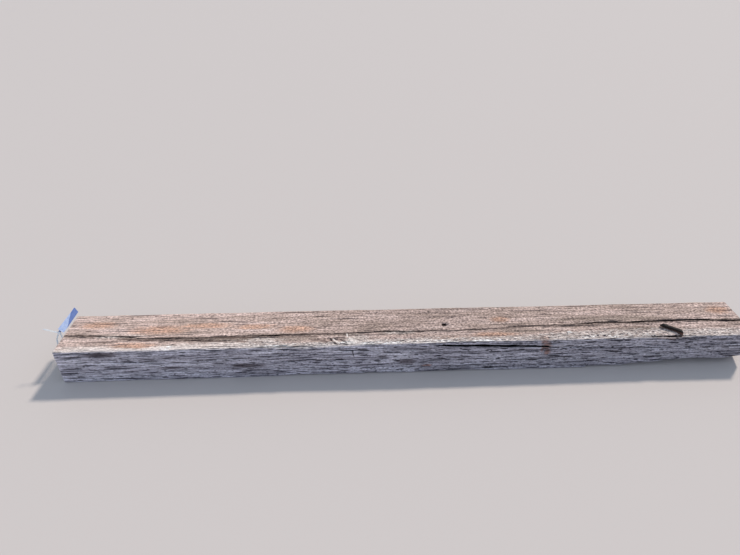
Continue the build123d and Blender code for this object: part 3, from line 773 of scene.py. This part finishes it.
# %% Stains: each spreads along the streaks, with ragged ends
# Each stain: its colour, how much of it covers the wood at most, and how soft its edge is
stain_tones = {
    "orange": ("#c59d88", 0.85, 0.9), "grey": ("#87796f", 0.6, 0.6), "damp": ("#5d4f4a", 0.65, 0.4),
    "brown": ("#544b50", 0.85, 0.6), "pale": ("#e2d5cf", 0.6, 0.6), "bleached": ("#f1e5e0", 0.78, 0.6),
    "rust": ("#8a5c46", 0.72, 0.8), "chips": ("#fffbfa", 1.0, 0.4),
}
STREAK_PULL, STAIN_EDGE = 1.3, 1.85
for stain, (code, most, softness) in stain_tones.items():
    ragged_edge = add(w, "Math", [streak, dash], operation="ADD")
    ragged_edge = add(w, "Math", [ragged_edge, STREAK_PULL, felt[stain]], operation="MULTIPLY_ADD")
    amount = add(w, "MapRange", {"Value": ragged_edge, "From Min": STAIN_EDGE - softness / 2,
                                 "From Max": STAIN_EDGE + softness / 2, "To Max": most})
    present = add(w, "MapRange", {"Value": felt[stain], "From Max": 0.3})
    amount = add(w, "Math", [amount, present], operation="MULTIPLY")
    tone = add(w, "Mix", {0: amount, 6: tone, 7: hex_colour(code)}, data_type="RGBA").outputs[2]

# %% Light and dark in short runs: first the strength on the sides, then on the top
smooth = add(w, "Math", [felt["bleached"], felt["splintery"]], operation="SUBTRACT")
smooth = add(w, "MapRange", {"Value": smooth, "To Min": 1.0, "To Max": 0.5})
light = felt["bleaching"]
for noise, on_sides, above in ((vein, 0.9, 0.3), (streak, 0.9, 0.5), (dash, 0.5, 0.7), (grit, 1.5, 3.0)):
    strength = add(w, "MapRange", {"Value": sunny, "To Min": on_sides, "To Max": above})
    strength = add(w, "Math", [strength, smooth], operation="MULTIPLY")
    if noise is grit:
        strength = add(w, "Math", [strength, felt["gritty"]], operation="MULTIPLY")
    factor = swing(w, noise, NOISE_MEAN, strength, 1.0)
    light = add(w, "Math", [factor, light], operation="MULTIPLY")
tone = add(w, "VectorMath", {0: tone, "Scale": light}, operation="SCALE").outputs[0]

# %% Painted shade: dark in the cuts, darkest in the deep checks and the spike's hole
# Colours of the painted shade in the slits and in the deep checks
CUT_SHADE, DEEP_SHADE = "#28242b", "#0d0a0b"
dark = 0.0
for cell, half, shift, depth, top_share, painted_cut_shade in cut_fields.values():
    cut = lens_cuts(w, place, cell, half, shift)
    here = add(w, "MapRange", {"Value": sunny, "To Min": painted_cut_shade, "To Max": painted_cut_shade * top_share})
    here = add(w, "Math", [felt["damp"], painted_cut_shade, here], operation="MULTIPLY_ADD")
    cut = add(w, "Math", [cut, here], operation="MULTIPLY", use_clamp=True)
    dark = add(w, "Math", [cut, dark], operation="MAXIMUM")
most = add(w, "MapRange", {"Value": felt["bleaching"], "From Min": 1.1, "From Max": 1.5, "To Min": 0.92,
                           "To Max": 0.6})
dark = add(w, "Math", [dark, most], operation="MULTIPLY")
tone = add(w, "Mix", {0: dark, 6: tone, 7: hex_colour(CUT_SHADE)}, data_type="RGBA").outputs[2]
# Painted shade by depth: the deeper the check or hole, the darker
depth_shade = add(w, "MapRange", {"Value": felt["sunk"], "From Min": 0.3 * MM, "From Max": 5 * MM})
tone = add(w, "Mix", {0: depth_shade, 6: tone, 7: hex_colour(DEEP_SHADE)}, data_type="RGBA").outputs[2]

# %% Painted shade: dark specks between the splinters of the bleached band
splinter_gap_shade = streaks(w, place, 15 * MM, 6.5 * MM, detail=2.0)
splinter_gap_shade = add(w, "MapRange", {"Value": splinter_gap_shade, "From Min": 0.52, "From Max": 0.44})
splinter_gap_shade = add(w, "Math", [splinter_gap_shade, felt["splintery"]], operation="MULTIPLY", use_clamp=True)
tone = add(w, "Mix", {0: splinter_gap_shade, 6: tone, 7: hex_colour("#443d46")}, data_type="RGBA").outputs[2]

# %% [markdown]
# ## Single marks
#
# Some marks are this timber's own: torn fibres at the gouge, dark weather lines on the top, and the
# lips and rust round the spike. The darkest strokes at the gouge are painted shadows that its torn
# fibres cast. The rings lie 8 mm apart, too far for such thin slanting strokes, so they are drawn
# in the material, each as one stroke on the map of the grain. Pale ones come first.

# %% The marks: from and to, as (along, around) in millimetres, then the width
marks = {
    "#f6ece7": [((-304, 188), (-284, 164), 7), ((-244, 186), (-205, 160), 16), ((-262, 166), (-208, 158), 8),
                ((-254, 211), (-253, 197), 6), ((1018, 163), (1027, 154), 14)],
    "#ecd6cf": [((936, 162), (994, 168), 10), ((916, 147), (966, 143), 10), ((966, 143), (994, 147), 8)],
    "#66534c": [((-1088, 216), (-961, 204), 6), ((-955, 221), (-820, 211), 5), ((-842, 198), (-694, 188), 6),
                ((-741, 213), (-609, 205), 6), ((-600, 215), (-465, 218), 7), ((-1246, 243), (-1150, 231), 5),
                ((-1214, 262), (-1165, 257), 5), ((-1082, 232), (-1010, 227), 4),
                ((-1269, 180), (-1155, 181), 4),
                ((-428, 221), (-317, 218), 5), ((-672, 186), (-564, 185), 4), ((-500, 201), (-361, 202), 4),
                ((-1213, 199), (-1080, 199), 4), ((750, 214), (927, 213), 4), ((567, 248), (578, 246), 6),
                ((627, 250), (638, 249), 6), ((1106, 213), (1240, 202), 4)],
    "#5b4a46": [((-386, 186), (-335, 182), 5), ((-243, 206), (-214, 202), 5), ((-352, 176), (-322, 172), 4)],
    # Painted shadows that the torn fibres at the gouge cast beside them
    "#332b2e": [((-326, 192), (-264, 195), 5), ((-315, 188), (-297, 162), 8), ((-279, 182), (-258, 168), 8),
                ((-300, 163), (-292, 156), 11), ((-237, 124), (-231, 94), 5)],
    "#3a211b": [((999, 164), (1001, 151), 14), ((938, 154), (984, 152), 10), ((984, 152), (992, 141), 10),
                ((950, 138), (984, 136), 8)],
}


def stroke(tree, spot, start, end, width):
    """1 along a mark's line and 0 past its edge."""
    run = Vector((end[0] - start[0], end[1] - start[1], 0)) * MM
    apart = add(tree, "VectorMath", [spot, (start[0] * MM, start[1] * MM, 0)], operation="SUBTRACT")
    share = add(tree, "VectorMath", [apart, run / run.length_squared], operation="DOT_PRODUCT")
    share = add(tree, "Math", [share.outputs["Value"], 1.0], operation="MULTIPLY", use_clamp=True)
    nearest = add(tree, "VectorMath", {0: run, "Scale": share}, operation="SCALE")
    apart = add(tree, "VectorMath", [apart, nearest], operation="SUBTRACT")
    apart = add(tree, "VectorMath", [apart], operation="LENGTH").outputs["Value"]
    return add(tree, "MapRange", {"Value": apart, "From Min": 0.3 * width * MM, "From Max": 0.55 * width * MM,
                                  "To Min": 1.0, "To Max": 0.0})


FRAY = 6 * MM
frayed = swing(w, dash, NOISE_MEAN, FRAY, felt["around"])
spot = add(w, "CombineXYZ", [where_x.outputs[0], frayed])
patchy = add(w, "MapRange", {"Value": grit, "From Min": 0.36, "From Max": 0.58, "To Min": 0.35})
for code, group in marks.items():
    for start, end, width in group:
        mark = stroke(w, spot, start, end, width)
        mark = add(w, "Math", [mark, patchy], operation="MULTIPLY", use_clamp=True)
        tone = add(w, "Mix", {0: mark, 6: tone, 7: hex_colour(code)}, data_type="RGBA").outputs[2]

# %% End grain: growth rings about the heart
GROWTH_RING, RING_WOBBLE, RING_CONTRAST = 5 * MM, 14 * MM, 0.16
from_heart = add(w, "VectorMath", [where, (0, HEART_Y, HEART_Z)], operation="SUBTRACT")
from_heart = add(w, "VectorMath", [from_heart, (0, 1, 1)], operation="MULTIPLY")
wobble = add(w, "TexNoise", {"Vector": from_heart, "Scale": 18.0, "Detail": 3.0})
radius = add(w, "VectorMath", [from_heart], operation="LENGTH").outputs["Value"]
radius = add(w, "Math", [wobble, RING_WOBBLE, radius], operation="MULTIPLY_ADD")
growth = add(w, "Math", [radius, 2 * math.pi / GROWTH_RING], operation="MULTIPLY")
growth = add(w, "Math", [growth], operation="SINE")
weather = add(w, "TexNoise", {"Vector": where, "Scale": 45.0, "Detail": 5.0})
growth = add(w, "Math", [growth, RING_CONTRAST, weather], operation="MULTIPLY_ADD")
end_tone = add(w, "ValToRGB", [growth], [(0.25, "#594f4b"), (0.5, "#8a7d77"), (0.75, "#b0a49d")])
# The end checks and the heart take the same painted shade by depth
end_tone = add(w, "Mix", {0: depth_shade, 6: end_tone.outputs[0], 7: hex_colour(DEEP_SHADE)}, data_type="RGBA")
tone = add(w, "Mix", {0: felt["end_grain"], 6: tone, 7: end_tone.outputs[2]}, data_type="RGBA").outputs[2]
w.links.new(tone, shader.inputs["Base Color"])

# %% Fine relief as bump, and no gloss
height = add(w, "Math", [dash, grit], operation="ADD")
height = add(w, "Math", [streak, height], operation="ADD")
bump = add(w, "Bump", {"Height": height, "Strength": 1.0, "Distance": 1.6 * MM})
w.links.new(bump.outputs[0], shader.inputs["Normal"])
shader.inputs["Specular IOR Level"].default_value = 0.2
dress(worn_mesh, wood)

# %% Seat the skin on the frame
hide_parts("sleeper")
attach(timber, "root")

# %% [markdown]
# ## Splinters
#
# Along the top front arris the wood has broken into fine pale splinters that catch the sun. They
# are far too many to place by hand, so Geometry Nodes scatters them: points on the bleached band
# of the skin, and on each point a slim three-sided sliver that lies along the grain, one end a
# little raised.

# %% Bleached splinter wood
splinter_wood, s, shader = new_material("bleached_splinter", roughness=0.85)
sliver_tone = add(s, "TexNoise", {"Vector": add(s, "TexCoord").outputs["Object"], "Scale": 60.0})
sliver_tone = add(s, "ValToRGB", [sliver_tone], [(0.3, "#a8968f"), (0.5, "#d6c8c2"), (0.7, "#efe6e2")])
s.links.new(sliver_tone.outputs[0], shader.inputs["Base Color"])

# %% The splinter tree
# A random value's least and most are its inputs 2 and 3 for a number, and 0 and 1 for a vector
splinter_sizes = {"Density": 16000.0, "Length": 24 * MM, "Thickness": 1.8 * MM}
scatter, given = new_tree("arris_splinters", splinter_sizes)
band = add(scatter, "GeometryNodeInputNamedAttribute", {"Name": "splintery"}, data_type="FLOAT")
sunk = add(scatter, "GeometryNodeInputNamedAttribute", {"Name": "sunk"}, data_type="FLOAT")
chance = add(scatter, "FunctionNodeRandomValue", {2: 0.25, 3: 1.0, "Seed": 4}, data_type="FLOAT").outputs[1]
chosen = add(scatter, "FunctionNodeCompare", [band, chance], data_type="FLOAT", operation="GREATER_THAN")
level = add(scatter, "FunctionNodeCompare", [sunk, 1 * MM], data_type="FLOAT", operation="LESS_THAN")
chosen = add(scatter, "FunctionNodeBooleanMath", [chosen, level], operation="AND")
points = add(scatter, "GeometryNodeDistributePointsOnFaces", {
    "Mesh": given.outputs["Geometry"], "Selection": chosen, "Density": given.outputs["Density"], "Seed": 3})
sliver = add(scatter, "GeometryNodeMeshCone", {
    "Vertices": 3, "Side Segments": 1, "Fill Segments": 1, "Radius Top": 0.1 * MM,
    "Radius Bottom": given.outputs["Thickness"], "Depth": given.outputs["Length"]})
tilt = add(scatter, "FunctionNodeRandomValue", {0: (-0.06, 1.45, -0.14), 1: (0.06, 1.6, 0.14), "Seed": 5},
           data_type="FLOAT_VECTOR").outputs[0]
size = add(scatter, "FunctionNodeRandomValue", {2: 0.4, 3: 1.5, "Seed": 7}, data_type="FLOAT").outputs[1]
splinters = add(scatter, "GeometryNodeInstanceOnPoints", {
    "Points": points.outputs[0], "Instance": sliver.outputs[0], "Rotation": tilt, "Scale": size})
splinters = add(scatter, "GeometryNodeRealizeInstances", {"Geometry": splinters})
splinters = add(scatter, "GeometryNodeSetMaterial", {"Geometry": splinters, "Material": splinter_wood})
add(scatter, "NodeGroupOutput", {"Geometry": splinters})

arris_splinters = place_object("arris_splinters", worn_mesh.copy())
arris_splinters.modifiers.new("arris_splinters", "NODES").node_group = scatter
splinter_mesh = make_plain(arris_splinters)
print("splinters:", len(splinter_mesh.polygons), "faces")
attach(arris_splinters, "root")

# %% [markdown]
# ## The bent spike, the nail and the tag
#
# These three are small, and their CAD shapes are right, but sawn-sharp edges would look like
# plastic. A copy of each is merged first, because a CAD mesh is loose triangles. The spike's copy
# is remeshed finely and pitted by noise. The nail's and the tag's get a small bevel.

# %% A merged copy of a CAD node
def merged_copy(node, name):
    shape = bmesh.new()
    shape.from_mesh(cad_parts[node].data)
    bmesh.ops.remove_doubles(shape, verts=shape.verts, dist=0.01 * MM)
    mesh = bpy.data.meshes.new(name)
    shape.to_mesh(mesh)
    shape.free()
    return place_object(name, mesh)


# %% Rusted steel: forged, then pitted all over by scale and rust
steel, r, shader = new_material("rusted_steel", roughness=0.75, metallic=0.25)
where = add(r, "TexCoord").outputs["Object"]
scale_patches = add(r, "TexNoise", {"Vector": where, "Scale": 160.0, "Detail": 4.0})
rust = add(r, "ValToRGB", [scale_patches], [(0.38, "#090708"), (0.54, "#151011"), (0.72, "#3a2b26")])
height = add(r, "SeparateXYZ", [where])
at_root = add(r, "MapRange", {"Value": height.outputs[2], "From Min": HEIGHT + 8 * MM, "From Max": HEIGHT})
rust = add(r, "Mix", {0: at_root, 6: rust.outputs[0], 7: hex_colour("#6e4a3d")}, data_type="RGBA")
r.links.new(rust.outputs[2], shader.inputs["Base Color"])
pits = add(r, "Bump", {"Height": scale_patches, "Strength": 0.8, "Distance": 0.6 * MM})
r.links.new(pits.outputs[0], shader.inputs["Normal"])

# %% Pit the spike
PIT_LEVEL = 0.6      # noise below this eats into the steel
pitting, given = new_tree("pitting", {"Pit depth": 1.6 * MM})
lumps = add(pitting, "TexNoise", {"Vector": add(pitting, "GeometryNodeInputPosition"), "Scale": 150.0})
lumps = swing(pitting, lumps, PIT_LEVEL, given.outputs["Pit depth"])
offset = add(pitting, "VectorMath", {0: add(pitting, "GeometryNodeInputNormal"), "Scale": lumps},
             operation="SCALE")
moved = add(pitting, "GeometryNodeSetPosition", {"Geometry": given.outputs["Geometry"], "Offset": offset})
add(pitting, "NodeGroupOutput", {"Geometry": moved})

spike = merged_copy("bent_spike", "pitted_spike")
remesh = spike.modifiers.new("even cells", "REMESH")
remesh.mode = "VOXEL"
remesh.voxel_size = 0.9 * MM
remesh.use_smooth_shade = True
spike.modifiers.new("pits", "NODES").node_group = pitting
spike_mesh = make_plain(spike)
dress(spike_mesh, steel)
print("spike:", len(spike_mesh.polygons), "faces")
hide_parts("bent_spike")
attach(spike, "root")

# %% [markdown]
# The tag is moulded white polythene, which looks soft: rough, with a trace of light passing into
# it. Its flag's upper side carries painted shade: the blue of the open sky, deeper past the crease
# where the face turns away. This scene's light gives no such blue, so the plastic's colour has it
# painted there, by which way the face turns, and the underside, loop and tail stay white. The nail
# is zinc-coated steel, beginning to rust.

# %% White plastic and zinc
plastic, p, shader = new_material("white_plastic", roughness=0.55)
where = add(p, "TexCoord").outputs["Object"]
dust = add(p, "TexNoise", {"Vector": where, "Scale": 90.0, "Detail": 4.0})
clean = add(p, "ValToRGB", [dust], [(0.35, "#edf3ff"), (0.6, "#fbfdff")])
# Painted shade: the blue that the open sky gives the flag
painted_sky_shade = add(p, "ValToRGB", [dust], [(0.35, "#92a8d6"), (0.6, "#a6b9e2")])
turned_up = add(p, "SeparateXYZ", [add(p, "NewGeometry").outputs["Normal"]])
# Painted shade: the steeper faces past the crease take a deeper blue
crease_shade = add(p, "MapRange", {"Value": turned_up.outputs[2], "From Min": 0.6, "From Max": 0.5})
painted_sky_shade = add(p, "Mix", {0: crease_shade, 6: painted_sky_shade.outputs[0], 7: hex_colour("#627bb6")}, data_type="RGBA")
along_tag = add(p, "SeparateXYZ", [where])
on_flag = add(p, "MapRange", {"Value": along_tag.outputs[1], "From Min": -9 * MM, "From Max": -7 * MM})
off_tail = add(p, "MapRange", {"Value": along_tag.outputs[0], "From Min": -1306 * MM, "From Max": -1303 * MM})
on_flag = add(p, "Math", [on_flag, off_tail], operation="MULTIPLY")
upper_side = add(p, "MapRange", {"Value": turned_up.outputs[2], "From Min": 0.05, "From Max": 0.15})
on_flag = add(p, "Math", [on_flag, upper_side], operation="MULTIPLY")
painted_sky_shade = add(p, "Mix", {0: on_flag, 6: clean.outputs[0], 7: painted_sky_shade.outputs[2]}, data_type="RGBA")
p.links.new(painted_sky_shade.outputs[2], shader.inputs["Base Color"])
shader.inputs["Subsurface Weight"].default_value = 0.3
shader.inputs["Subsurface Radius"].default_value = (1.0, 1.0, 1.0)
shader.inputs["Subsurface Scale"].default_value = 4 * MM

zinc, z, shader = new_material("zinc_nail", roughness=0.5, metallic=0.7)
spots = add(z, "TexNoise", {"Vector": add(z, "TexCoord").outputs["Object"], "Scale": 400.0})
coat = add(z, "ValToRGB", [spots], [(0.4, "#6b4a3c"), (0.55, "#8d8a88"), (0.7, "#a3a3a4")])
z.links.new(coat.outputs[0], shader.inputs["Base Color"])

# %% Bevel and seat them
for node, name, material, slot, edge in (("lot_tag", "blank_tag", plastic, "white_plastic", 0.35 * MM),
                                         ("tag_nail", "standing_nail", zinc, "zinc_nail", 0.3 * MM)):
    piece = merged_copy(node, name)
    bevel = piece.modifiers.new("soft edges", "BEVEL")
    bevel.width = edge
    bevel.segments = 2
    bevel.angle_limit = math.radians(30)
    mesh = make_plain(piece)
    dress(mesh, material)
    print(name, len(mesh.polygons), "faces")
    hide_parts(node)
    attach(piece, "root")

# %% [markdown]
# ## Floor, light and camera
#
# A plain pale floor, one broad warm lamp from behind on the right, as low sun would fall, and a
# cool even sky. Together they light the top so that a colour renders about as it is written, and
# leave the front face in open shade. The camera stands where a person's eye would, two metres off.

# %% Floor
FLOOR_REACH = 40
floor = mesh_piece("floor", [(-FLOOR_REACH, -FLOOR_REACH, 0), (FLOOR_REACH, -FLOOR_REACH, 0),
                             (FLOOR_REACH, FLOOR_REACH, 0), (-FLOOR_REACH, FLOOR_REACH, 0)], [(0, 1, 2, 3)])
pale, _, shader = new_material("pale_floor", roughness=0.95)
shader.inputs["Base Color"].default_value = hex_colour("#cdc6c4")
dress(floor.data, pale)

# %% Light
SUN_FROM = Vector((0.45, 0.45, 0.77))
sun = bpy.data.lights.new("key", "SUN")
sun.energy = 2.4
sun.color = (1.0, 0.90, 0.78)
sun.angle = math.radians(6)
lamp = place_object("key", sun)
lamp.rotation_euler = SUN_FROM.to_track_quat("Z", "Y").to_euler()
world = bpy.context.scene.world or bpy.data.worlds.new("world")
bpy.context.scene.world = world
world.use_nodes = True
world.node_tree.nodes["Background"].inputs["Color"].default_value = (0.72, 0.84, 1.0, 1.0)
world.node_tree.nodes["Background"].inputs["Strength"].default_value = 0.6

# %% Camera
PHOTO_WIDTH, FOCAL_PIXELS, SENSOR = 740, 556, 36
EYE = Vector((-0.2856, -1.5953, 1.5297))
yaw, pitch, roll = math.radians(4.134), math.radians(35.75), math.radians(1.3246)
forward = Vector((math.cos(pitch) * math.sin(yaw), math.cos(pitch) * math.cos(yaw), -math.sin(pitch)))
level_right = Vector((math.cos(yaw), -math.sin(yaw), 0))
level_up = level_right.cross(forward)
right_way = math.cos(roll) * level_right + math.sin(roll) * level_up
up_way = math.cos(roll) * level_up - math.sin(roll) * level_right
camera_data = bpy.data.cameras.new("camera")
camera_data.sensor_width = SENSOR
camera_data.lens = SENSOR * FOCAL_PIXELS / PHOTO_WIDTH
camera = place_object("camera", camera_data)
turned = Matrix((right_way, up_way, -forward)).transposed()
camera.matrix_world = Matrix.Translation(EYE) @ turned.to_4x4()
bpy.context.scene.camera = camera
bpy.context.scene.view_settings.view_transform = "Standard"
